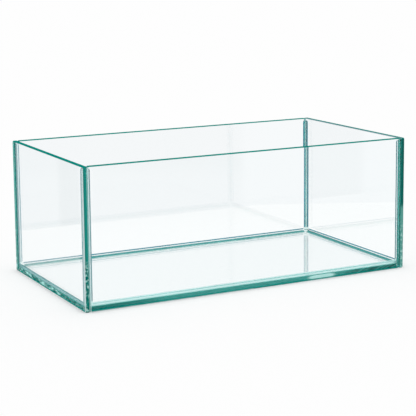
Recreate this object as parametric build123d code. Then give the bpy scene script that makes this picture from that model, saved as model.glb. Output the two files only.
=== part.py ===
from build123d import *
import os

# Rimless glass aquarium, open at the top. Millimetres, +Z up.
# The origin is the middle of the footprint, on the surface that the tank stands on.
# +X runs along the long front, -Y faces the viewer.

# Outside of the tank
tank_length = 600.0
tank_depth = 320.0
tank_height = 230.0

# Float glass
wall_glass = 8.0
base_glass = 8.0
arris = 1.2  # leg of the ground bevel along every cut edge
corner_dub = 1.5  # leg of the flat ground across each corner of a pane

# Silicone
bond = 1.0  # layer between the cut edge of one pane and the face of the next
bond_setback = 0.7  # how deep the knife-trimmed lip of a bond lies in its groove
bead_leg = 5.0  # width of an inner bead along the glass, from the corner
bead_radius = 6.0  # hollow of an inner bead, as the tool leaves it
bead_edge = 0.25  # thickness left where the hollow would run out to nothing
bead_top_gap = 3.0  # an upright bead ends this far under the rim

# Faces that the pieces share, measured from the middle of the tank
outer_x = tank_length / 2
outer_y = tank_depth / 2
inner_x = outer_x - wall_glass
inner_y = outer_y - wall_glass
bonded_x = inner_x - bond
bonded_y = inner_y - bond


def sheet(width, height, thickness):
    # A pane lying flat: sawn outline with dubbed corners, then an arris round both faces.
    outline = chamfer(Rectangle(width, height).vertices(), corner_dub)
    blank = extrude(outline, thickness)
    rims = blank.faces().filter_by(Axis.Z).edges()
    return chamfer(rims, arris)


def block(x_span, y_span, z_span):
    # A box between two limits along each axis.
    spans = (x_span, y_span, z_span)
    middle = [(low + high) / 2 for low, high in spans]
    return Pos(*middle) * Box(*[high - low for low, high in spans])


def front_to_back(shape):
    return mirror(shape, about=Plane.XZ)


def left_to_right(shape):
    return mirror(shape, about=Plane.YZ)


def half_turn(shape):
    return Rot(0, 0, 180) * shape


# Panes. The side panes run the full depth, so their cut edges show at the front and the back.
# The front and back panes stand between them, and the base lies inside all four walls.
facing_front = Plane(origin=(0, -outer_y, tank_height / 2), x_dir=(-1, 0, 0), z_dir=(0, 1, 0))
facing_left = Plane(origin=(-outer_x, 0, tank_height / 2), x_dir=(0, 1, 0), z_dir=(1, 0, 0))

base_pane = sheet(2 * bonded_x, 2 * bonded_y, base_glass)
front_pane = facing_front * sheet(2 * bonded_x, tank_height, wall_glass)
left_pane = facing_left * sheet(tank_depth, tank_height, wall_glass)


# Bonds. Each one fills the gap between a cut edge and the face beside it, and swells into
# the grooves that the arrises leave, up to its trimmed lip.
groove = bond + arris + corner_dub

upright_gap = block(
    (-inner_x, -inner_x + groove),
    (-outer_y + bond_setback, -inner_y),
    (bond_setback, tank_height - bond_setback),
)
corner_bond = upright_gap - front_pane - left_pane

side_gap = block((-inner_x, -inner_x + groove), (-inner_y, inner_y), (bond_setback, base_glass))
end_gap = block((-bonded_x, bonded_x), (-inner_y, -inner_y + groove), (bond_setback, base_glass))
base_bond_left = side_gap - base_pane
base_bond_front = end_gap - base_pane - base_bond_left - left_to_right(base_bond_left)


# Inner beads. The silicone is what a rounded tool leaves between the square inside of the
# tank and a hollow with rounded corners, kept only within one leg of each seam.
square_inside = block((-inner_x, inner_x), (-inner_y, inner_y), (base_glass, tank_height))
tool_space = block(
    (-inner_x + bead_edge, inner_x - bead_edge),
    (-inner_y + bead_edge, inner_y - bead_edge),
    (base_glass + bead_edge, tank_height),
)
upright_corners = tool_space.edges().filter_by(Axis.Z)
floor_corners = tool_space.faces().sort_by(Axis.Z)[0].edges()
rounded_hollow = fillet(upright_corners + floor_corners, bead_radius)
lining = square_inside - rounded_hollow

bead_top = tank_height - bead_top_gap
base_bead_top = base_glass + bead_leg


def mitred_strip(corner_x, corner_y, along_x):
    # Plan of one base bead: a strip along a wall whose ends are mitred at 45 degrees.
    if along_x:
        plan = Polyline(
            (-corner_x, -corner_y),
            (corner_x, -corner_y),
            (corner_x - bead_leg, -corner_y + bead_leg),
            (-corner_x + bead_leg, -corner_y + bead_leg),
            close=True,
        )
    else:
        plan = Polyline(
            (-corner_x, -corner_y),
            (-corner_x + bead_leg, -corner_y + bead_leg),
            (-corner_x + bead_leg, corner_y - bead_leg),
            (-corner_x, corner_y),
            close=True,
        )
    return Pos(0, 0, base_glass) * extrude(make_face(plan), bead_leg, dir=(0, 0, 1))


base_bead_front = lining & mitred_strip(inner_x, inner_y, along_x=True)
base_bead_left = lining & mitred_strip(inner_x, inner_y, along_x=False)
corner_bead = lining & block(
    (-inner_x, -inner_x + bead_leg), (-inner_y, -inner_y + bead_leg), (base_bead_top, bead_top)
)

nodes = {
    "base_pane": base_pane,
    "front_pane": front_pane,
    "back_pane": front_to_back(front_pane),
    "left_pane": left_pane,
    "right_pane": left_to_right(left_pane),
    "base_bond_front": base_bond_front,
    "base_bond_back": front_to_back(base_bond_front),
    "base_bond_left": base_bond_left,
    "base_bond_right": left_to_right(base_bond_left),
    "base_bead_front": base_bead_front,
    "base_bead_back": front_to_back(base_bead_front),
    "base_bead_left": base_bead_left,
    "base_bead_right": left_to_right(base_bead_left),
}

# The four upright seams hold one bond and one bead each, alike at every corner.
for kind, front_left in (("corner_bond", corner_bond), ("corner_bead", corner_bead)):
    nodes[f"{kind}_front_left"] = front_left
    nodes[f"{kind}_front_right"] = left_to_right(front_left)
    nodes[f"{kind}_back_left"] = front_to_back(front_left)
    nodes[f"{kind}_back_right"] = half_turn(front_left)

os.makedirs("parts", exist_ok=True)
for name, shape in nodes.items():
    export_step(shape, f"parts/{name}.step")
    print(f"{name}: {shape.volume / 1000:.2f} cm3")
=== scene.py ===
import math

import bpy
from mathutils import Matrix, Vector


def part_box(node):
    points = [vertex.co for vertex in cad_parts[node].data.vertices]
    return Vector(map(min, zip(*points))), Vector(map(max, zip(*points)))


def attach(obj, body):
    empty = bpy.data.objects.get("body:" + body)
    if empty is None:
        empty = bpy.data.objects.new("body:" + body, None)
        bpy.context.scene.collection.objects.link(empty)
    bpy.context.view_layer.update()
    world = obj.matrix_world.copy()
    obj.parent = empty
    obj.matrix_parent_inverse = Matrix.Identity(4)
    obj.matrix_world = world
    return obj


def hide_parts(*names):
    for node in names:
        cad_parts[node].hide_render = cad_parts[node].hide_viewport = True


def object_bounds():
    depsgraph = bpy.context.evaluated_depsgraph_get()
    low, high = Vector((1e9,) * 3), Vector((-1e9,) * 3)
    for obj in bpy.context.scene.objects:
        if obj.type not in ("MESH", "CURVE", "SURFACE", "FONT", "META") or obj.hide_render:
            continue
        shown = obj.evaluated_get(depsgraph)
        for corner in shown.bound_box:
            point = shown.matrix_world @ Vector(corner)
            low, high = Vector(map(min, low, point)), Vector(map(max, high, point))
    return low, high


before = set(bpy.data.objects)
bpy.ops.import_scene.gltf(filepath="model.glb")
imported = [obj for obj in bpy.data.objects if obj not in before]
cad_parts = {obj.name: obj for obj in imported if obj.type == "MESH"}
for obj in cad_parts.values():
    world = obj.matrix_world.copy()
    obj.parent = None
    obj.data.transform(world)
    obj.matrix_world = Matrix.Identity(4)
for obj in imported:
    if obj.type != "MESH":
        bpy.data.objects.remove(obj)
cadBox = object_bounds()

scene = bpy.context.scene
mm = 0.001
print("frame loaded:", len(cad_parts), "nodes")


def exact(length, digits=6):
    # the frame keeps its numbers in single precision
    return round(length, digits)


# the tank's own sizes, read from the frame
leftLow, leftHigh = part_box("left_pane")
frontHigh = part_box("front_pane")[1]
tank = {
    "halfLength": exact(cadBox[1].x),
    "halfDepth": exact(cadBox[1].y),
    "height": exact(cadBox[1].z),
    "glass": exact(leftHigh.x - leftLow.x),  # thickness of every pane
    "innerX": exact(-leftHigh.x),  # inner faces of the walls, from the middle
    "innerY": exact(-frontHigh.y),
    "bond": exact(-leftHigh.x - frontHigh.x),  # gap between a cut edge and the next pane
}


def addNode(tree, kind, **settings):
    node = tree.nodes.new(kind)
    for name, value in settings.items():
        setattr(node, name, value)
    return node


def feed(tree, socket, value):
    # a socket is linked, anything else is set on it
    if isinstance(value, bpy.types.NodeSocket):
        tree.links.new(value, socket)
    else:
        socket.default_value = value


def calc(tree, operation, *values):
    node = addNode(tree, "ShaderNodeMath", operation=operation)
    for socket, value in zip(node.inputs, values):
        feed(tree, socket, value)
    return node.outputs[0]


def vectorCalc(tree, operation, *values, scale=None):
    node = addNode(tree, "ShaderNodeVectorMath", operation=operation)
    for socket, value in zip(node.inputs, values):
        feed(tree, socket, value)
    if scale is not None:
        feed(tree, node.inputs["Scale"], scale)
    return node.outputs["Value" if operation == "LENGTH" else "Vector"]


def opposite(tree, share):
    # 1 where the share is 0, and 0 where it is 1
    return calc(tree, "SUBTRACT", 1.0, share)


def split(tree, vector):
    node = addNode(tree, "ShaderNodeSeparateXYZ")
    feed(tree, node.inputs[0], vector)
    return node.outputs


def blend(tree, share, first, second):
    # a colour or a number between first (share 0) and second (share 1)
    plain = isinstance(first, (int, float)) or getattr(first, "type", "") == "VALUE"
    node = addNode(tree, "ShaderNodeMix", data_type="FLOAT" if plain else "RGBA")
    feed(tree, node.inputs["Factor"], share)
    feed(tree, node.inputs["A"], first)
    feed(tree, node.inputs["B"], second)
    return node.outputs["Result"]


def mixed(tree, share, first, second):
    # the same for two shaders
    node = addNode(tree, "ShaderNodeMixShader")
    for socket, value in zip(node.inputs, (share, first, second)):
        feed(tree, socket, value)
    return node.outputs[0]


def ramp(tree, value, low, high):
    # 0 below low, 1 above high, or the other way round if low is the higher one
    node = addNode(tree, "ShaderNodeMapRange", interpolation_type="SMOOTHSTEP")
    feed(tree, node.inputs["Value"], value)
    feed(tree, node.inputs["From Min"], low)
    feed(tree, node.inputs["From Max"], high)
    return node.outputs[0]


def noise(tree, where, scale, stretch=(1.0, 1.0, 1.0), detail=2.0):
    mapping = addNode(tree, "ShaderNodeMapping")
    feed(tree, mapping.inputs["Vector"], where)
    feed(tree, mapping.inputs["Scale"], stretch)
    node = addNode(tree, "ShaderNodeTexNoise")
    feed(tree, node.inputs["Vector"], mapping.outputs[0])
    feed(tree, node.inputs["Scale"], scale)
    feed(tree, node.inputs["Detail"], detail)
    return node.outputs[0]


def bumped(tree, height, strength, distance):
    node = addNode(tree, "ShaderNodeBump")
    feed(tree, node.inputs["Height"], height)
    feed(tree, node.inputs["Strength"], strength)
    feed(tree, node.inputs["Distance"], distance)
    return node.outputs[0]


def newMaterial(name):
    material = bpy.data.materials.new(name)
    material.use_nodes = True
    material.node_tree.nodes.clear()
    output = addNode(material.node_tree, "ShaderNodeOutputMaterial")
    return material, material.node_tree, output


def shader(tree, kind, colour, **numbers):
    node = addNode(tree, "ShaderNodeBsdf" + kind)
    feed(tree, node.inputs["Color"], colour)
    for name, value in numbers.items():
        feed(tree, node.inputs[name], value)
    return node.outputs[0]


def letLightThrough(tree, output, surface, passed):
    # light on its way to something matt goes straight through, or the floor would stay black
    path = addNode(tree, "ShaderNodeLightPath").outputs
    straight = calc(tree, "MAXIMUM", path["Is Shadow Ray"], path["Is Diffuse Ray"])
    thinned = shader(tree, "Transparent", passed)
    feed(tree, output.inputs["Surface"], mixed(tree, straight, surface, thinned))


def atLeastOnce(tree, depth, threshold=0.5):
    # 1 for a ray that has been mirrored ("Glossy Depth"), has gone through glass
    # ("Transmission Depth") or has met something matt ("Diffuse Depth")
    count = addNode(tree, "ShaderNodeLightPath").outputs[depth]
    return calc(tree, "GREATER_THAN", count, threshold)


sealant = {
    "arris": 1.2 * mm,  # bevel along the panes' edges
    "lip": 0.7 * mm,  # how far the outer lips are trimmed back
    "leg": 6.5 * mm,  # width of a bead along the glass
    "hollow": 8 * mm,  # radius of the tool
    "feather": 0.25 * mm,  # what the tool leaves beyond the bead
    "topGap": 3 * mm,  # from the end of an upright bead to the rim
    "fullFrom": 2 * mm,  # above the base, where an upright bead is full
    "runOut": 4 * mm,  # length of its thinning end
    "thinning": ((1.5 * mm, 0.75), (0.0, 0.0)),  # how far below the end, how full there
    "clearance": -0.05 * mm,  # below 0 it is pressed against the glass
    "bend": 0.02 * mm,  # at the corners of the route round the floor
    "least": 0.001 * mm,  # keeps a division finite
    "ringSpacing": 6 * mm,  # between two sections
    "arcSteps": 10,
    "cornerSteps": 10,  # even, so that one lies on the mitre
    "ripple": 0.25 * mm,  # unsteadiness of the hand
    "rippleScale": 45.0,
    "rippleFrom": 0.35,  # noise below this leaves the bead even
    "squareUpTo": 0.25,  # marks below this go out into the square corners,
    "waverFrom": 0.75,  # and marks above this waver
    "crispFrom": 0.5,  # in radians: edges sharper than this stay crisp
    "seed": 4,
}

sealantLook = {
    "ior": 1.41,
    "roughness": 0.03,
    "tint": (0.95, 0.98, 0.98, 1.0),
    "passed": (0.90, 0.93, 0.93, 1.0),  # light that goes straight through
    "skinScale": 900.0,
    "skinDepth": 0.06,
    "skinHeight": 0.3 * mm,
    "uprightFrom": (6.5 * mm, 10 * mm),  # above the base, where lying beads end
    "featherFrom": (0.67, 0.71),  # shares of the leg: from here on it is a thin margin,
    "coreUpTo": (0.50, 0.46),  # and up to here the core
    "knotUpTo": (9.5 * mm, 7.5 * mm),  # from the corner where three beads meet
    "flatFrom": 0.995,  # normals this near to an axis belong to faces against the glass
    "bondFrom": -0.1 * mm,  # behind the faces of the panes it is bond, not bead
    # what is scattered and how much of it, on the hollow: the silicone's haze, with a dark core and
    # thin margin that are painted reflections of the green cut edges and the dark surroundings
    "core": ((0.0, 0.27, 0.26, 1.0), 0.95),
    "uprightCore": ((0.42, 0.58, 0.64, 1.0), 0.5),
    "thinEdge": ((0.0, 0.21, 0.28, 1.0), 0.95),
    "knot": (0.80, 0.92, 0.90, 1.0),
    # and through the glass, in front and at the sides: haze with painted light, paler in front, and
    # painted shade, darker at the sides
    "front": ((0.45, 0.80, 0.77, 1.0), 0.45),
    "uprightFront": ((0.55, 0.72, 0.76, 1.0), 0.3),
    "uprightThinEdge": ((0.10, 0.24, 0.26, 1.0), 0.9),
    "side": ((0.22, 0.42, 0.43, 1.0), 0.7),
    "uprightSide": ((0.15, 0.28, 0.30, 1.0), 0.7),
}


def hazeBy(tree, share, first, second):
    # blends two pairs of a colour and a share
    return tuple(blend(tree, share, one, other) for one, other in zip(first, second))


def readSeam(tree, coords):
    # where on a seam a ray meets it
    where = split(tree, vectorCalc(tree, "ABSOLUTE", coords["Object"]))
    toX = calc(tree, "SUBTRACT", tank["innerX"], where["X"])
    toY = calc(tree, "SUBTRACT", tank["innerY"], where["Y"])
    toZ = calc(tree, "SUBTRACT", where["Z"], tank["glass"])
    farther = calc(tree, "MAXIMUM", toX, toY)
    upright = ramp(tree, toZ, *sealantLook["uprightFrom"])
    # how far up a lying bead, or how far from the corner of an upright one
    reach = calc(tree, "DIVIDE", blend(tree, upright, toZ, farther), sealant["leg"])
    turned = split(tree, vectorCalc(tree, "ABSOLUTE", coords["Normal"]))
    most = calc(tree, "MAXIMUM", calc(tree, "MAXIMUM", turned["X"], turned["Y"]), turned["Z"])
    return {
        "upright": upright,
        "thinEdge": ramp(tree, reach, *sealantLook["featherFrom"]),
        "core": ramp(tree, reach, *sealantLook["coreUpTo"]),
        "knot": ramp(tree, calc(tree, "MAXIMUM", farther, toZ), *sealantLook["knotUpTo"]),
        "sideways": turned["X"],
        "hollow": calc(tree, "LESS_THAN", most, sealantLook["flatFrom"]),
        "bead": calc(tree, "GREATER_THAN", calc(tree, "MINIMUM", toY, toZ), sealantLook["bondFrom"]),
    }


def hollowHazeAndPaintedReflection(tree, at):
    # on the hollow: the core, a clear band and the thin margin, with paler knots in the corners; the
    # dark core and margin are painted reflections
    colour, share = hazeBy(tree, at["upright"], sealantLook["core"], sealantLook["uprightCore"])
    share = calc(tree, "MULTIPLY", at["core"], share)
    colour, share = hazeBy(tree, at["thinEdge"], (colour, share), sealantLook["thinEdge"])
    return blend(tree, at["knot"], colour, sealantLook["knot"]), share


def flatHazeAndPaintedLight(tree, at):
    # where the bead lies against glass and is met through it; paler in front as painted light, darker
    # at the sides as painted shade
    front = hazeBy(tree, at["upright"], sealantLook["front"], sealantLook["uprightFront"])
    thinUpright = calc(tree, "MULTIPLY", at["thinEdge"], at["upright"])
    front = hazeBy(tree, thinUpright, front, sealantLook["uprightThinEdge"])
    side = hazeBy(tree, at["upright"], sealantLook["side"], sealantLook["uprightSide"])
    return hazeBy(tree, at["sideways"], front, side)


def makeSilicone(name):
    material, tree, output = newMaterial(name)
    look = sealantLook
    coords = addNode(tree, "ShaderNodeTexCoord").outputs
    skin = noise(tree, coords["Object"], look["skinScale"])
    skin = bumped(tree, skin, look["skinDepth"], look["skinHeight"])
    gel = shader(tree, "Glass", look["tint"], IOR=look["ior"], Roughness=look["roughness"], Normal=skin)
    at = readSeam(tree, coords)
    colour, share = hazeBy(tree, at["hollow"], flatHazeAndPaintedLight(tree, at), hollowHazeAndPaintedReflection(tree, at))

    # the bonds in their grooves stay clear, and haze counts once, where a ray goes in
    leaving = addNode(tree, "ShaderNodeNewGeometry").outputs["Backfacing"]
    hazy = calc(tree, "MULTIPLY", at["bead"], opposite(tree, leaving))
    share = calc(tree, "MULTIPLY", share, hazy)
    surface = mixed(tree, share, gel, shader(tree, "Diffuse", colour))
    letLightThrough(tree, output, surface, look["passed"])
    return material


def seamSection():
    # Across a seam: distance from the wall, distance from the face that the cut edge bounds.
    # The third number is a mark: 1 on the hollow that the tool leaves, 0 against the glass,
    # 0.5 where the bead's foot meets that face.
    gap, leg = sealant["clearance"], sealant["leg"]
    bond, arris = tank["bond"], sealant["arris"]
    outer = sealant["lip"] - tank["glass"] + gap
    under = arris - tank["glass"]
    pivot = sealant["feather"] + sealant["hollow"]
    first = math.asin((pivot - leg) / sealant["hollow"])
    steps = sealant["arcSteps"]
    section = [(gap, outer, 0.0), (gap, leg, 0.0)]
    for step in range(steps + 1):
        angle = first + (math.pi / 2 - 2 * first) * step / steps
        across = pivot - sealant["hollow"] * math.cos(angle)
        along = pivot - sealant["hollow"] * math.sin(angle)
        section.append((across, along, 1.0))
    section += [
        (leg, gap, 0.5),
        (bond + arris, gap, 0.0),
        (bond - gap, -arris, 0.0),
        (bond - gap, under, 0.0),
        (bond - gap + under - outer, outer, 0.0),
    ]
    return section


def polyline(name, points, closed, mark, marks):
    # a chain of edges that carries one number per point
    count = len(points)
    edges = [(i, i + 1) for i in range(count - 1)]
    if closed:
        edges.append((count - 1, 0))
    mesh = bpy.data.meshes.new(name)
    mesh.from_pydata(points, edges, [])
    numbers = mesh.attributes.new(mark, "FLOAT", "POINT")
    numbers.data.foreach_set("value", marks)
    chain = bpy.data.objects.new(name, mesh)
    scene.collection.objects.link(chain)
    return chain


def floorRoute():
    # round the tank on the line that the tool turns about, with a short bend at each corner
    pivot = sealant["feather"] + sealant["hollow"]
    halfX, halfY = tank["innerX"] - pivot, tank["innerY"] - pivot
    bend, steps = sealant["bend"], sealant["cornerSteps"]
    corners = ((1, 1), (-1, 1), (-1, -1), (1, -1))

    def inBend(turn, step):
        towardsX, towardsY = corners[turn % len(corners)]
        angle = math.pi / 2 * (turn + step / steps)
        return Vector((towardsX * halfX + bend * math.cos(angle),
                       towardsY * halfY + bend * math.sin(angle), tank["glass"]))

    points = []
    for turn in range(len(corners)):
        points += [inBend(turn, step) for step in range(steps + 1)]
        start, end = points[-1], inBend(turn + 1, 0)
        cuts = int((end - start).length / sealant["ringSpacing"])
        points += [start.lerp(end, cut / (cuts + 1)) for cut in range(1, cuts + 1)]
    return points


def cornerRoute():
    # up the front left corner; the second list says how full the bead is there
    pivot = sealant["feather"] + sealant["hollow"]
    low = sealant["lip"] + sealant["clearance"]
    start = tank["glass"] + sealant["clearance"]
    beadEnd = tank["height"] - sealant["topGap"]
    full, taper = start + sealant["fullFrom"], beadEnd - sealant["runOut"]
    cuts = int((taper - full) / sealant["ringSpacing"])
    stops = [(low, 0.0), (start, 0.0)]
    stops += [(full + (taper - full) * cut / cuts, 1.0) for cut in range(cuts + 1)]
    stops += [(beadEnd - below, share) for below, share in sealant["thinning"]]
    stops.append((tank["height"] - low, 0.0))
    points = [(pivot - tank["innerX"], pivot - tank["innerY"], height) for height, share in stops]
    return points, [share for height, share in stops]


def nodeInput(tree, name, kind):
    tree.interface.new_socket(name, in_out="INPUT", socket_type="NodeSocket" + kind)


def readNumber(tree, name):
    node = addNode(tree, "GeometryNodeInputNamedAttribute", data_type="FLOAT")
    node.inputs["Name"].default_value = name
    return node.outputs["Attribute"]


def moved(tree, geometry, offset):
    node = addNode(tree, "GeometryNodeSetPosition")
    feed(tree, node.inputs["Geometry"], geometry)
    feed(tree, node.inputs["Offset"], offset)
    return node.outputs[0]


def sweptSeam(tree, given, section, route):
    # sweeps a section along a route, both chains of edges
    curves = []
    for name in (route, section):
        source = addNode(tree, "GeometryNodeObjectInfo")
        feed(tree, source.inputs["Object"], given[name])
        curve = addNode(tree, "GeometryNodeMeshToCurve")
        feed(tree, curve.inputs["Mesh"], source.outputs["Geometry"])
        curves.append(curve.outputs[0])
    sweep = addNode(tree, "GeometryNodeCurveToMesh")
    feed(tree, sweep.inputs["Curve"], curves[0])
    feed(tree, sweep.inputs["Profile Curve"], curves[1])
    feed(tree, sweep.inputs["Fill Caps"], True)
    return sweep.outputs[0]


def rippled(tree, geometry, given, detail=1.0):
    # the hand wavers a little, always away from the glass
    where = addNode(tree, "GeometryNodeInputPosition").outputs[0]
    normal = addNode(tree, "GeometryNodeInputNormal").outputs[0]
    waver = addNode(tree, "ShaderNodeTexNoise", noise_dimensions="4D")
    feed(tree, waver.inputs["Vector"], where)
    feed(tree, waver.inputs["W"], given["Seed"])
    feed(tree, waver.inputs["Scale"], given["Ripple scale"])
    feed(tree, waver.inputs["Detail"], detail)
    rise = calc(tree, "SUBTRACT", waver.outputs[0], sealant["rippleFrom"])
    rise = calc(tree, "MAXIMUM", rise, 0.0)
    onHollow = calc(tree, "GREATER_THAN", readNumber(tree, "hollow"), sealant["waverFrom"])
    amount = calc(tree, "MULTIPLY", calc(tree, "MULTIPLY", rise, onHollow), given["Ripple"])
    return moved(tree, geometry, vectorCalc(tree, "SCALE", normal, scale=amount))


def squaredOff(tree, geometry, given):
    # what lies against the glass goes out from the bends into the square corners
    where = addNode(tree, "GeometryNodeInputPosition").outputs[0]
    corner = given["Pivot corner"]
    inside = vectorCalc(tree, "MINIMUM", where, corner)
    inside = vectorCalc(tree, "MAXIMUM", inside, vectorCalc(tree, "SCALE", corner, scale=-1.0))
    outwards = vectorCalc(tree, "SUBTRACT", where, inside)
    outwards = vectorCalc(tree, "MULTIPLY", outwards, (1.0, 1.0, 0.0))
    parts = split(tree, vectorCalc(tree, "ABSOLUTE", outwards))
    longest = calc(tree, "MAXIMUM", parts["X"], parts["Y"])
    longest = calc(tree, "MAXIMUM", longest, sealant["least"])
    stretch = calc(tree, "DIVIDE", vectorCalc(tree, "LENGTH", outwards), longest)
    atGlass = calc(tree, "LESS_THAN", readNumber(tree, "hollow"), sealant["squareUpTo"])
    stretch = calc(tree, "MULTIPLY", calc(tree, "SUBTRACT", stretch, 1.0), atGlass)
    return moved(tree, geometry, vectorCalc(tree, "SCALE", outwards, scale=stretch))


def drawnIn(tree, geometry, given):
    # where an upright bead runs out, only the bond in its groove is left
    where = addNode(tree, "GeometryNodeInputPosition").outputs[0]
    inwards = vectorCalc(tree, "SUBTRACT", vectorCalc(tree, "MINIMUM", where, given["Groove"]), where)
    missing = opposite(tree, readNumber(tree, "full"))
    return moved(tree, geometry, vectorCalc(tree, "SCALE", inwards, scale=missing))


def united(tree, floorSeam, cornerSeam):
    # one body of the floor's seam and the corner's, which is mirrored into the other corners
    join = addNode(tree, "GeometryNodeMeshBoolean", operation="UNION", solver="MANIFOLD")
    for mirrorX, mirrorY in ((1, 1), (-1, 1), (1, -1), (-1, -1)):
        copy = addNode(tree, "GeometryNodeTransform")
        feed(tree, copy.inputs["Geometry"], cornerSeam)
        feed(tree, copy.inputs["Scale"], (mirrorX, mirrorY, 1.0))
        result = copy.outputs[0]
        if mirrorX * mirrorY < 0:
            flip = addNode(tree, "GeometryNodeFlipFaces")
            feed(tree, flip.inputs[0], result)
            result = flip.outputs[0]
        tree.links.new(result, join.inputs["Mesh 2"])
    tree.links.new(floorSeam, join.inputs["Mesh 2"])
    return join.outputs["Mesh"]


def smoothed(tree, geometry):
    # shaded smooth, except across crisp edges
    rounded = addNode(tree, "GeometryNodeSetShadeSmooth")
    feed(tree, rounded.inputs["Geometry"], geometry)
    angle = addNode(tree, "GeometryNodeInputMeshEdgeAngle").outputs["Unsigned Angle"]
    crisp = addNode(tree, "GeometryNodeSetShadeSmooth", domain="EDGE")
    feed(tree, crisp.inputs["Geometry"], rounded.outputs[0])
    feed(tree, crisp.inputs["Selection"], calc(tree, "GREATER_THAN", angle, sealant["crispFrom"]))
    feed(tree, crisp.inputs["Shade Smooth"], False)
    return crisp.outputs[0]


def sealantTree():
    tree = bpy.data.node_groups.new("toolSeams", "GeometryNodeTree")
    nodeInput(tree, "Geometry", "Geometry")
    for name in ("Floor section", "Floor route", "Corner section", "Corner route"):
        nodeInput(tree, name, "Object")
    for name in ("Pivot corner", "Groove"):
        nodeInput(tree, name, "Vector")
    for name in ("Ripple", "Ripple scale", "Seed"):
        nodeInput(tree, name, "Float")
    nodeInput(tree, "Material", "Material")
    tree.interface.new_socket("Geometry", in_out="OUTPUT", socket_type="NodeSocketGeometry")
    given = addNode(tree, "NodeGroupInput").outputs

    floorSeam = sweptSeam(tree, given, "Floor section", "Floor route")
    floorSeam = rippled(tree, squaredOff(tree, floorSeam, given), given)
    cornerSeam = sweptSeam(tree, given, "Corner section", "Corner route")
    cornerSeam = rippled(tree, drawnIn(tree, cornerSeam, given), given)
    real = addNode(tree, "GeometryNodeRealizeInstances")
    feed(tree, real.inputs[0], smoothed(tree, united(tree, floorSeam, cornerSeam)))
    finish = addNode(tree, "GeometryNodeSetMaterial")
    feed(tree, finish.inputs["Geometry"], real.outputs[0])
    feed(tree, finish.inputs["Material"], given["Material"])
    feed(tree, addNode(tree, "NodeGroupOutput").inputs[0], finish.outputs[0])
    return tree


def grown(name, tree, settings):
    # runs the tree on an empty mesh and keeps the result as a plain one
    carrier = bpy.data.objects.new(name, bpy.data.meshes.new(name))
    scene.collection.objects.link(carrier)
    nodes = carrier.modifiers.new(tree.name, "NODES")
    nodes.node_group = tree
    for socket in tree.interface.items_tree:
        if socket.in_out == "INPUT" and socket.name in settings:
            nodes[socket.identifier] = settings[socket.name]
    graph = bpy.context.evaluated_depsgraph_get()
    mesh = bpy.data.meshes.new_from_object(carrier.evaluated_get(graph), depsgraph=graph)
    carrier.modifiers.clear()
    carrier.data = mesh
    return carrier


def sealSeams():
    pivot = sealant["feather"] + sealant["hollow"]
    section = seamSection()[::-1]  # this way round the faces point outwards
    marks = [mark for across, along, mark in section]
    floorRound = floorRoute()
    up, fullness = cornerRoute()
    floorSection = [(pivot - across, -along, 0) for across, along, mark in section]
    cornerSection = [(across - pivot, along - pivot, 0) for across, along, mark in section]
    chains = {
        "Floor section": polyline("floorSection", floorSection, True, "hollow", marks),
        "Floor route": polyline("floorRoute", floorRound, True, "full", [1.0] * len(floorRound)),
        "Corner section": polyline("cornerSection", cornerSection, True, "hollow", marks),
        "Corner route": polyline("cornerRoute", up, False, "full", fullness),
    }
    groove = tank["bond"] + sealant["arris"]
    settings = dict(chains)
    settings["Pivot corner"] = (tank["innerX"] - pivot, tank["innerY"] - pivot, 1.0)
    settings["Groove"] = (groove - tank["innerX"], sealant["clearance"] - tank["innerY"], 1.0)
    settings["Ripple"] = sealant["ripple"]
    settings["Ripple scale"] = sealant["rippleScale"]
    settings["Seed"] = sealant["seed"]
    settings["Material"] = makeSilicone("clearSilicone")
    seams = grown("siliconeSeams", sealantTree(), settings)
    for chain in chains.values():
        bpy.data.objects.remove(chain)
    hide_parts(*[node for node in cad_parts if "bond" in node or "bead" in node])
    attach(seams, "root")
    print("silicone seams:", len(seams.data.polygons), "faces")


sealSeams()


floatGlass = {
    "ior": 1.52,
    "absorbed": (1.9, 0.35, 0.2),  # per metre of glass, red green blue
    "faceTint": (1.0, 1.0, 1.0, 1.0),
    "edgeTint": (0.045, 0.52, 0.41, 1.0),  # iron green, as a cut edge shows it
    "bevelTint": (0.88, 0.94, 0.95, 1.0),
    "faceFrom": 0.9,  # normals along the pane's thin axis: from here on it is a face,
    "edgeUpTo": 0.35,  # up to here the flat of a cut edge, and a bevel between the two
    "upwardFrom": 0.3,  # normals along Z: from here on it is the rim
    "grindScale": 420.0,  # the wheel's marks on what is cut
    "grindDepth": 0.12,
    "grindHeight": 0.4 * mm,
    "mattInside": 0.9,  # how much a cut edge scatters, met from inside its pane
    "mattBevel": 0.55,
    "mattRim": 0.85,
    "rim": (0.0, 0.25, 0.21, 1.0),  # top edges
    "rimInsideShade": (0.24, 0.38, 0.42, 1.0),  # their inner bevels on the side panes, in blue-grey painted shade and reflection
    "bright": (0.60, 1.0, 0.94, 1.0),  # chips
    "frontBevelHighlight": (0.74, 0.86, 0.86, 1.0),  # upright bevels at the front left, pale: a painted highlight
    "bareAbove": (2.5 * mm, 0.5 * mm),  # heights above the beads, below which a face doesn't mirror
    "footReach": (8 * mm, 5 * mm),  # heights below which light ends in the bond
    "facePassed": (1.0, 1.0, 1.0, 1.0),
    "footPassed": (0.12, 0.13, 0.13, 1.0),
    "edgePassed": (0.70, 0.75, 0.75, 1.0),
}

sidePanes = {
    "nodes": ("left_pane", "right_pane"),
    "thin": "X",
    "along": "Y",
    "bareBeside": (3.5 * mm, 1.5 * mm),  # the same beside the upright beads
    "matt": 0.5,  # how much a cut edge scatters, met from outside
    "even": (0.02, 0.38, 0.325, 1.0),  # its green where it is plain
    "deep": (0.0, 0.22, 0.18, 1.0),  # and between chips
    "chipScale": 180.0,
    "chipRange": (0.52, 0.62),
    "chipReach": (90 * mm, 60 * mm),  # they fade out between these heights
    "reflectionChange": (105 * mm, 115 * mm),  # the right pane's edge is deep above, pale below: a painted reflection
    "rightDarkReflection": (0.01, 0.20, 0.17, 1.0),
    "rightPaleReflection": (0.19, 0.58, 0.51, 1.0),
}

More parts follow.
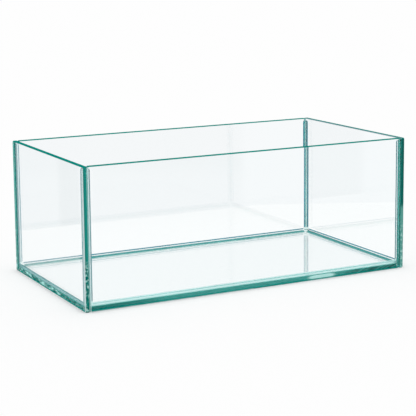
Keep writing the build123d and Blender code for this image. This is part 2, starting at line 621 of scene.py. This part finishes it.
longPanes = {
    "nodes": ("front_pane", "back_pane"),
    "thin": "Y",
    "along": "X",
    "bareBeside": (4.5 * mm, 2.5 * mm),
    "matt": 0.6,
    "even": (0.01, 0.34, 0.29, 1.0),
    "deep": (0.0, 0.20, 0.17, 1.0),
    "chipScale": 200.0,
    "chipRange": (0.40, 0.66),
    "chipShare": 0.12,
}

basePane = {
    "nodes": ("base_pane",),
    "thin": "Z",
    "matt": 0.9,
    "even": (0.05, 0.34, 0.30, 1.0),
    "deep": (0.0, 0.18, 0.155, 1.0),
    "bevel": (0.06, 0.44, 0.38, 1.0),
    "chipScale": 190.0,
    "chipRange": (0.40, 0.66),
    "chipStretch": (1.0, 0.4, 1.0),
    "chipsFewer": (-20 * mm, -100 * mm),  # the short edges are calmer towards the front
    "chipsLeft": 0.35,
    "deepFrom": (130 * mm, 250 * mm),  # from the middle, the long edges turn deep
    "streak": (0.0, 0.10, 0.085, 1.0),  # and on the right they are streaked
    "streakScale": 110.0,
    "streakRange": (0.50, 0.62),
    "streakSlant": 2.5,
    "glint": (0.66, 0.98, 0.93, 1.0),  # a painted highlight, a bright spot in the long front edge
    "glintAt": 135 * mm,  # from the middle
    "glintHeight": 3.5 * mm,
    "glintSize": (32 * mm, 3 * mm, 6 * mm),
    "glintRange": (1.0, 0.6),
}


def chipMask(tree, pane, place):
    flakes = noise(tree, place, pane["chipScale"], pane.get("chipStretch", (1.0, 1.0, 1.0)))
    return ramp(tree, flakes, *pane["chipRange"])


def sideEdge(tree, pane, at):
    # low down on the side panes the upright edges are chipped, and the right pane's upright edge
    # carries a painted reflection, dark above and pale below
    onRight = calc(tree, "GREATER_THAN", at["where"]["X"], 0.0)
    high = ramp(tree, at["where"]["Z"], *pane["reflectionChange"])
    rightReflection = blend(tree, high, pane["rightPaleReflection"], pane["rightDarkReflection"])
    even = blend(tree, onRight, pane["even"], rightReflection)
    deep = blend(tree, onRight, pane["deep"], pane["rightPaleReflection"])
    shards = blend(tree, chipMask(tree, pane, at["place"]), deep, floatGlass["bright"])
    return blend(tree, ramp(tree, at["where"]["Z"], *pane["chipReach"]), even, shards)


def longEdge(tree, pane, at):
    shards = blend(tree, chipMask(tree, pane, at["place"]), pane["deep"], floatGlass["bright"])
    return blend(tree, pane["chipShare"], pane["even"], shards)


def baseEdge(tree, pane, at):
    where = at["where"]
    calm = blend(tree, ramp(tree, where["Y"], *pane["chipsFewer"]), 1.0, pane["chipsLeft"])
    chips = calc(tree, "MULTIPLY", chipMask(tree, pane, at["place"]), calm)
    short = blend(tree, chips, pane["deep"], floatGlass["bright"])

    # slanted streaks at the right end of the long edges
    slanted = addNode(tree, "ShaderNodeCombineXYZ")
    lean = calc(tree, "MULTIPLY", where["Z"], pane["streakSlant"])
    feed(tree, slanted.inputs["X"], calc(tree, "SUBTRACT", where["X"], lean))
    streaks = noise(tree, slanted.outputs[0], pane["streakScale"])
    streaks = ramp(tree, streaks, *pane["streakRange"])
    onRight = calc(tree, "GREATER_THAN", where["X"], 0.0)
    ends = blend(tree, onRight, pane["deep"], blend(tree, streaks, pane["streak"], pane["even"]))
    outward = ramp(tree, calc(tree, "ABSOLUTE", where["X"]), *pane["deepFrom"])
    long = blend(tree, outward, pane["even"], ends)

    # painted highlight: a bright oval on the long front edge
    baseFront = exact(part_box("base_pane")[0].y)
    glintSpot = (pane["glintAt"], baseFront, pane["glintHeight"])
    away = vectorCalc(tree, "SUBTRACT", at["place"], glintSpot)
    away = vectorCalc(tree, "LENGTH", vectorCalc(tree, "DIVIDE", away, pane["glintSize"]))
    long = blend(tree, ramp(tree, away, *pane["glintRange"]), long, pane["glint"])
    return blend(tree, calc(tree, "ABSOLUTE", at["facing"]["X"]), long, short)


def readPane(tree, pane):
    # where a ray meets a pane, and on which of its surfaces
    coords = addNode(tree, "ShaderNodeTexCoord").outputs
    facing = split(tree, coords["Normal"])
    thin = calc(tree, "ABSOLUTE", facing[pane["thin"]])
    leaving = addNode(tree, "ShaderNodeNewGeometry").outputs["Backfacing"]
    return {
        "place": coords["Object"],
        "where": split(tree, coords["Object"]),
        "facing": facing,
        "leaving": leaving,
        "entering": opposite(tree, leaving),
        "cut": calc(tree, "LESS_THAN", thin, floatGlass["faceFrom"]),  # edge and bevels
        "edge": calc(tree, "LESS_THAN", thin, floatGlass["edgeUpTo"]),
        "upward": calc(tree, "GREATER_THAN", facing["Z"], floatGlass["upwardFrom"]),
    }


def clearGlass(tree, pane, at):
    # what isn't scattered: clear faces, and green where the glass is cut
    standing = pane is not basePane
    green = calc(tree, "MAXIMUM", at["edge"], at["upward"]) if standing else 1.0
    tint = blend(tree, green, floatGlass["bevelTint"], floatGlass["edgeTint"])
    tint = blend(tree, calc(tree, "MULTIPLY", at["cut"], at["entering"]), floatGlass["faceTint"], tint)
    marks = noise(tree, at["place"], floatGlass["grindScale"])
    depth = calc(tree, "MULTIPLY", at["cut"], floatGlass["grindDepth"])
    ground = bumped(tree, marks, depth, floatGlass["grindHeight"])
    glass = shader(tree, "Glass", tint, IOR=floatGlass["ior"], Roughness=0.0, Normal=ground)
    if not standing:
        return glass
    # a face that mirrors the pale room would veil the seams behind it
    beadTop = tank["glass"] + sealant["leg"]
    beadSide = (tank["innerX"] if pane is longPanes else tank["innerY"]) - sealant["leg"]
    low = ramp(tree, at["where"]["Z"], *(beadTop + more for more in floatGlass["bareAbove"]))
    ends = calc(tree, "ABSOLUTE", at["where"][pane["along"]])
    ends = ramp(tree, ends, *(beadSide - less for less in pane["bareBeside"]))
    bare = calc(tree, "MULTIPLY", calc(tree, "MAXIMUM", low, ends), opposite(tree, at["cut"]))
    clear = shader(tree, "Refraction", floatGlass["faceTint"], IOR=floatGlass["ior"], Roughness=0.0)
    return mixed(tree, bare, glass, clear)


def scattered(tree, pane, at):
    # colour and share of what the cut edges scatter
    share = blend(tree, at["leaving"], pane["matt"], floatGlass["mattInside"])
    share = blend(tree, at["edge"], floatGlass["mattBevel"], share)
    if pane is basePane:
        return blend(tree, at["edge"], pane["bevel"], baseEdge(tree, pane, at)), share
    share = blend(tree, at["upward"], share, floatGlass["mattRim"])
    # painted highlight: the upright bevels at the front left are pale
    farther = calc(tree, "MAXIMUM", at["where"]["X"], at["where"]["Y"])
    frontLeft = calc(tree, "MULTIPLY", at["entering"], calc(tree, "LESS_THAN", farther, 0.0))
    bevel = blend(tree, frontLeft, pane["even"], floatGlass["frontBevelHighlight"])
    rimBevel = floatGlass["rim"]
    if pane is sidePanes:
        edge = sideEdge(tree, pane, at)
        # painted shade and reflection: the inner rim bevels of the side panes are blue-grey
        inwards = calc(tree, "MULTIPLY", at["facing"]["X"], at["where"]["X"])
        rimBevel = blend(tree, calc(tree, "LESS_THAN", inwards, 0.0), rimBevel, floatGlass["rimInsideShade"])
    else:
        edge = longEdge(tree, pane, at)
    edge = blend(tree, at["upward"], edge, floatGlass["rim"])
    bevel = blend(tree, at["upward"], bevel, rimBevel)
    return blend(tree, at["edge"], bevel, edge), share


def passedLight(tree, pane, at):
    # what is left of light that goes straight through
    passed = floatGlass["facePassed"]
    if pane is not basePane:
        foot = ramp(tree, at["where"]["Z"], *floatGlass["footReach"])
        foot = calc(tree, "MULTIPLY", foot, opposite(tree, atLeastOnce(tree, "Transmission Depth")))
        passed = blend(tree, foot, passed, floatGlass["footPassed"])
    return blend(tree, at["cut"], passed, floatGlass["edgePassed"])


def glaze(name, pane):
    material, tree, output = newMaterial(name)
    at = readPane(tree, pane)
    colour, share = scattered(tree, pane, at)
    share = calc(tree, "MULTIPLY", at["cut"], share)
    surface = mixed(tree, share, clearGlass(tree, pane, at), shader(tree, "Diffuse", colour))
    letLightThrough(tree, output, surface, passedLight(tree, pane, at))

    most = max(floatGlass["absorbed"])
    body = addNode(tree, "ShaderNodeVolumeAbsorption")
    feed(tree, body.inputs["Density"], most)
    left = [1 - part / most for part in floatGlass["absorbed"]]
    feed(tree, body.inputs["Color"], (*left, 1.0))
    feed(tree, output.inputs["Volume"], body.outputs[0])

    for node in pane["nodes"]:
        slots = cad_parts[node].data.materials
        slots.clear()
        slots.append(material)
    print("glazed:", ", ".join(pane["nodes"]))


glaze("sideGlass", sidePanes)
glaze("longGlass", longPanes)
glaze("baseGlass", basePane)


studio = {
    "floorReach": 14.0,  # half the sheet's width, in metres as the other places here
    "floorDrop": -0.2 * mm,  # just under the glass, so that the two don't coincide
    "floorColour": (1.0, 1.0, 1.0, 1.0),
    "white": (0.99, 0.99, 0.99, 1.0),
    "fadeReach": (0.4, 1.6),  # where the sheet turns into the white backdrop
    "seenThrough": (1.0, 1.0, 1.0, 1.0),  # the sheet as the glass lights it up, as painted light: a plain white glow
    "tableEnds": ((0.0, 0.470), (0.455, 0.633)),  # slope and reach of its two far edges
    "tableSoft": 0.005,
    "wallColour": (0.945, 0.954, 0.963, 1.0),  # past them, seen through glass
    "footReach": (0.035, 0.018),  # painted shade: an outer face mirrors the sheet this close to the tank dark
    "footShadeShare": 0.75,
    "footShadeColour": (0.10, 0.16, 0.15, 1.0),
    "roomFrom": (0.62, 0.95),  # where the mirrored sheet gives way to the room
    "roomColour": (0.98, 0.99, 1.0, 1.0),
    "boardColour": (0.72, 0.75, 0.76, 1.0),  # boards stand in the mirrored room:
    # from which bearing to which, in degrees from +Y towards +X, and how grey
    "boards": ((-34.1, -20.8, 1.0), (-21.5, -10.0, 0.4), (151.1, 168.0, 1.0)),
    "boardSoft": 0.25,
    "farWall": (0.88, 0.91, 0.92, 1.0),  # it hides the boards from its foot up
    "farWallFrom": (0.0, 2.0),  # elevations in degrees
    "overhead": (0.10, 0.13, 0.14, 1.0),  # and the dark of the ceiling
    "overheadFrom": (22.0, 34.0),
}


def rayThat(tree, depth):
    # 1 for a ray that this has happened to and that has met nothing matt
    unspoilt = opposite(tree, atLeastOnce(tree, "Diffuse Depth"))
    return calc(tree, "MULTIPLY", atLeastOnce(tree, depth), unspoilt)


def over(tree, share, below, colour):
    # lays a plain glow over a shader
    glow = addNode(tree, "ShaderNodeEmission")
    feed(tree, glow.inputs["Color"], colour)
    return mixed(tree, share, below, glow.outputs[0])


def pastTable(tree, spot):
    # 1 past the table's far edges
    past = []
    for slope, reach in studio["tableEnds"]:
        slanted = calc(tree, "ADD", spot["Y"], calc(tree, "MULTIPLY", spot["X"], slope))
        past.append(calc(tree, "SUBTRACT", slanted, reach))
    return ramp(tree, calc(tree, "MAXIMUM", *past), -studio["tableSoft"], studio["tableSoft"])


def nearTank(tree, spot):
    # 1 at the foot of the tank, where mirrored rays get painted shade
    offX = calc(tree, "SUBTRACT", calc(tree, "ABSOLUTE", spot["X"]), tank["halfLength"])
    offY = calc(tree, "SUBTRACT", calc(tree, "ABSOLUTE", spot["Y"]), tank["halfDepth"])
    return ramp(tree, calc(tree, "MAXIMUM", offX, offY), *studio["footReach"])


def makePaper(name):
    # lit plainly, and with tones of its own for rays that glass has mirrored or let through: painted
    # light seen through glass, painted shade at the tank's foot when mirrored
    material, tree, output = newMaterial(name)
    place = addNode(tree, "ShaderNodeTexCoord").outputs["Object"]
    spot, away = split(tree, place), vectorCalc(tree, "LENGTH", place)
    mirrored, seenThrough = rayThat(tree, "Glossy Depth"), rayThat(tree, "Transmission Depth")
    beyond = pastTable(tree, spot)

    paper = shader(tree, "Diffuse", studio["floorColour"])
    look = over(tree, ramp(tree, away, *studio["fadeReach"]), paper, studio["white"])
    # painted light: a white glow where the sheet is seen through glass
    look = over(tree, seenThrough, look, studio["seenThrough"])
    direct = calc(tree, "MULTIPLY", seenThrough, opposite(tree, mirrored))
    look = over(tree, calc(tree, "MULTIPLY", beyond, direct), look, studio["wallColour"])
    # painted shade: mirrored by an outer face, the sheet at the tank's foot is dark
    outer = calc(tree, "MULTIPLY", mirrored, opposite(tree, seenThrough))
    shade = calc(tree, "MULTIPLY", nearTank(tree, spot), studio["footShadeShare"])
    look = over(tree, calc(tree, "MULTIPLY", outer, shade), look, studio["footShadeColour"])

    # where the room is mirrored, the ray goes on through the sheet into the world
    room = calc(tree, "MAXIMUM", beyond, ramp(tree, away, *studio["roomFrom"]))
    onwards = shader(tree, "Transparent", studio["white"])
    look = mixed(tree, calc(tree, "MULTIPLY", mirrored, room), look, onwards)
    feed(tree, output.inputs["Surface"], look)
    return material


def makeFloor():
    half, low = studio["floorReach"], studio["floorDrop"]
    corners = [(-half, -half, low), (half, -half, low), (half, half, low), (-half, half, low)]
    mesh = bpy.data.meshes.new("floorSheet")
    mesh.from_pydata(corners, [], [(0, 1, 2, 3)])
    mesh.materials.append(makePaper("paleFloor"))
    floor = bpy.data.objects.new("floorSheet", mesh)
    scene.collection.objects.link(floor)


def makeWorld():
    # white all round, and for mirrored rays a room
    world = bpy.data.worlds.new("softRoom")
    scene.world = world
    world.use_nodes = True
    tree = world.node_tree
    towards = split(tree, addNode(tree, "ShaderNodeTexCoord").outputs["Generated"])
    mirrored, seenThrough = rayThat(tree, "Glossy Depth"), rayThat(tree, "Transmission Depth")
    bearing = calc(tree, "ARCTAN2", towards["X"], towards["Y"])
    boards, soft = 0.0, math.radians(studio["boardSoft"])
    for start, end, grey in studio["boards"]:
        start, end = math.radians(start), math.radians(end)
        afterStart = ramp(tree, bearing, start - soft, start + soft)
        beforeEnd = ramp(tree, bearing, end + soft, end - soft)
        board = calc(tree, "MULTIPLY", afterStart, beforeEnd)
        boards = calc(tree, "MAXIMUM", boards, calc(tree, "MULTIPLY", board, grey))
    room = blend(tree, boards, studio["roomColour"], studio["boardColour"])
    for limits, colour in (("farWallFrom", "farWall"), ("overheadFrom", "overhead")):
        low, high = (math.sin(math.radians(angle)) for angle in studio[limits])
        room = blend(tree, ramp(tree, towards["Z"], low, high), room, studio[colour])
    around = blend(tree, seenThrough, studio["white"], studio["wallColour"])
    background = tree.nodes["Background"]
    feed(tree, background.inputs["Color"], blend(tree, mirrored, around, room))
    feed(tree, background.inputs["Strength"], 1.0)


view = {
    "place": (-1.04936, -2.02501, 0.56364),  # in metres
    "yaw": 0.48039,  # in radians, clockwise from +Y seen from above
    "pitch": 0.15339,  # downwards
    "roll": -0.00879,
    "focal": 1330.5,  # in pixels of the picture
    "centre": (211.36, 150.0),  # where the line of sight goes, in pixels from the top left
    "picture": 416,  # pixels along a side
    "sensor": 36,  # in millimetres
    "nearest": 10 * mm,
}


def makeCamera():
    yaw, pitch, roll = view["yaw"], view["pitch"], view["roll"]
    level = Vector((math.cos(yaw), -math.sin(yaw), 0))
    ahead = Vector((math.sin(yaw), math.cos(yaw), 0)) * math.cos(pitch)
    ahead.z = -math.sin(pitch)
    upright = level.cross(ahead)
    right = math.cos(roll) * level + math.sin(roll) * upright
    up = math.cos(roll) * upright - math.sin(roll) * level
    lens = bpy.data.cameras.new("camera")
    camera = bpy.data.objects.new("camera", lens)
    scene.collection.objects.link(camera)
    size = view["picture"]
    lens.sensor_width = view["sensor"]
    lens.lens = view["focal"] / size * view["sensor"]
    lens.shift_x = (size / 2 - view["centre"][0]) / size
    lens.shift_y = (view["centre"][1] - size / 2) / size
    lens.clip_start = view["nearest"]
    turn = Matrix((right, up, -ahead)).transposed().to_4x4()
    turn.translation = view["place"]
    camera.matrix_world = turn
    scene.camera = camera


makeFloor()
makeWorld()
makeCamera()

scene.view_settings.view_transform = "Standard"
scene.cycles.max_bounces = 48  # light is piped along inside the panes
scene.cycles.transmission_bounces = 48
scene.cycles.glossy_bounces = 48
scene.cycles.transparent_max_bounces = 24
scene.cycles.diffuse_bounces = 3
print("studio ready")
